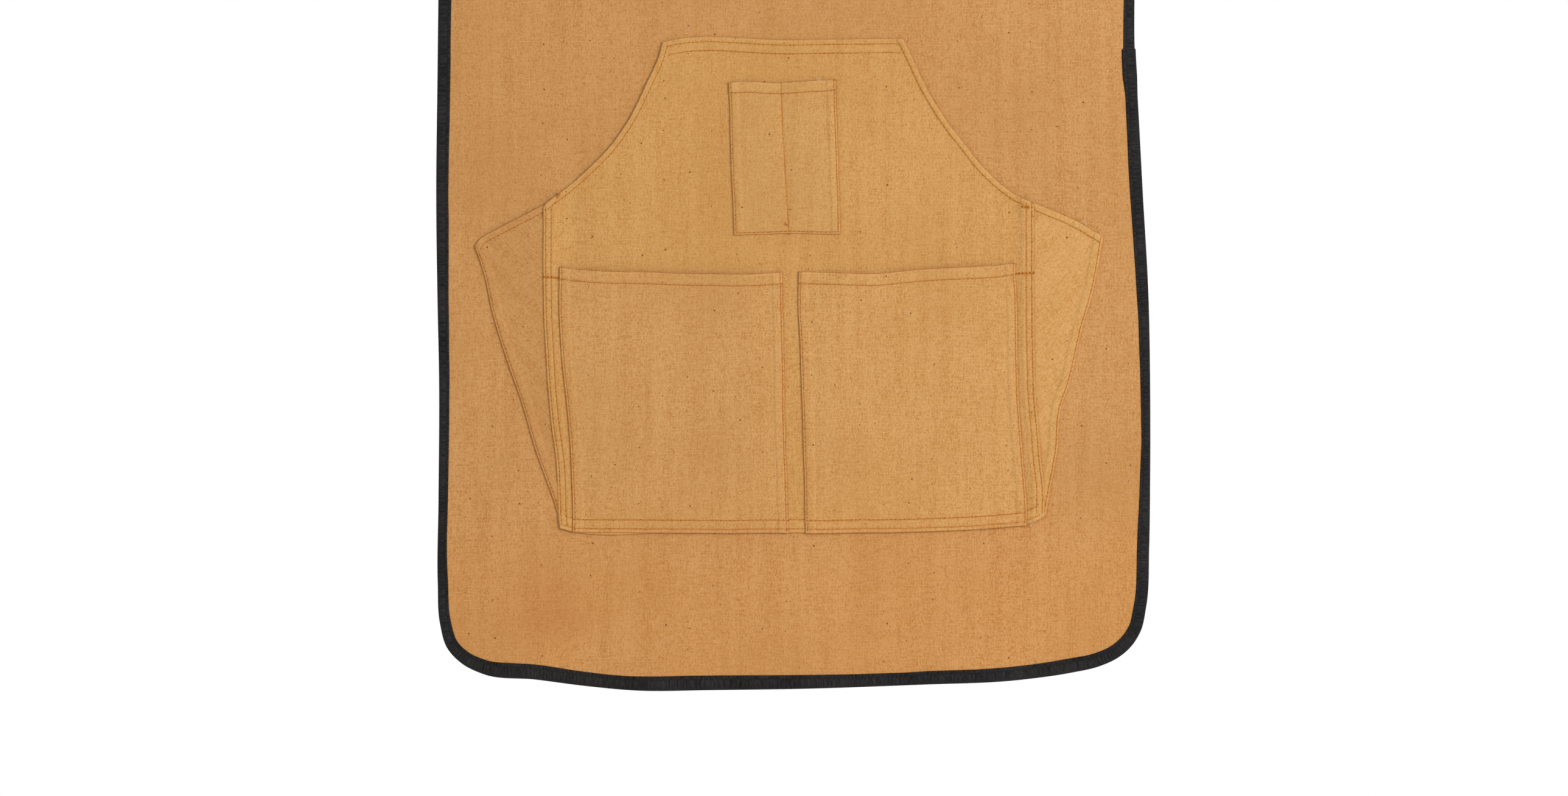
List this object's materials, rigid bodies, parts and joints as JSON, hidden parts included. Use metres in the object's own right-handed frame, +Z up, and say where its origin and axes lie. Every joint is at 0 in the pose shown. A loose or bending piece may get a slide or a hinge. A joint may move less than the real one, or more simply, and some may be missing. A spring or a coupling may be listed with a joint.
{
  "type": "work apron on a wall hook",
  "caption": "Canvas work apron with bound edges, a side-entry pouch, patch pockets and a pencil pocket, hanging by its neck strap from a ball-ended wall hook.",
  "frame": {"origin": "centre of the hook plate's back face, on the wall", "axes": "+Z up, +X to the viewer's right, +Y into the wall; the apron hangs at negative Y"},
  "size_m": [0.6112, 0.073, 1.2206],
  "materials": {
    "canvas": "heavy tan cotton canvas, matt, ribbed weave",
    "grosgrain": "black ribbed cotton tape",
    "webbing": "black woven webbing",
    "nickel": "nickel-plated wire, satin",
    "painted_steel": "black powder coat",
    "wood_ball": "oiled beech",
    "buckle": "black acetal"
  },
  "bodies": {
    "wall_hook": {"hook_plate": "painted_steel", "hook_arm": "painted_steel", "hook_tip": "wood_ball"},
    "neck_strap": {"neck_strap": "webbing"},
    "rings": {"ring_left": "nickel", "ring_right": "nickel"},
    "slider": {"strap_slider": "nickel"},
    "apron": {"body_panel": "canvas", "binding_skirt": "grosgrain", "binding_armhole_left": "grosgrain", "binding_armhole_right": "grosgrain", "binding_bib_top": "grosgrain", "pouch_front": "canvas", "pouch_side_left": "canvas", "pouch_side_right": "canvas", "pocket_left": "canvas", "pocket_right": "canvas", "pencil_pocket": "canvas", "ring_tab_left": "webbing", "ring_tab_right": "webbing"},
    "waist_strap_left": {"waist_strap_left": "webbing"},
    "waist_strap_right": {"waist_strap_right": "webbing"},
    "buckle_plug": {"buckle_plug": "buckle"},
    "buckle_socket": {"buckle_socket": "buckle"}
  },
  "joints": [
    {"name": "lift_off", "type": "slide", "parent": "wall_hook", "child": "neck_strap", "axis": [0, 0, 1], "range_m": [0, 0.05]},
    {"name": "sway", "type": "hinge", "parent": "neck_strap", "child": "rings", "pos_m": [0, -0.04, -0.01], "axis": [0, 1, 0], "range_deg": [-8, 8], "deforming": ["neck_strap"]},
    {"name": "tilt", "type": "hinge", "parent": "rings", "child": "apron", "pos_m": [0, -0.04, -0.304], "axis": [1, 0, 0], "range_deg": [-70, 2]},
    {"name": "strap_adjust", "type": "slide", "parent": "rings", "child": "slider", "axis": [-0.3355, 0, 0.9421], "range_m": [-0.035, 0.035]},
    {"name": "waist_left_swing", "type": "hinge", "parent": "apron", "child": "waist_strap_left", "pos_m": [-0.272, -0.038, -0.606], "axis": [0, 1, 0], "range_deg": [-25, 25]},
    {"name": "waist_right_swing", "type": "hinge", "parent": "apron", "child": "waist_strap_right", "pos_m": [0.272, -0.038, -0.606], "axis": [0, 1, 0], "range_deg": [-25, 25]},
    {"name": "plug_turn", "type": "hinge", "parent": "waist_strap_left", "child": "buckle_plug", "pos_m": [-0.272, -0.0335, -1.076], "axis": [1, 0, 0], "range_deg": [0, 35]},
    {"name": "socket_turn", "type": "hinge", "parent": "waist_strap_right", "child": "buckle_socket", "pos_m": [0.272, -0.0335, -1.076], "axis": [1, 0, 0], "range_deg": [0, 35]}
  ]
}
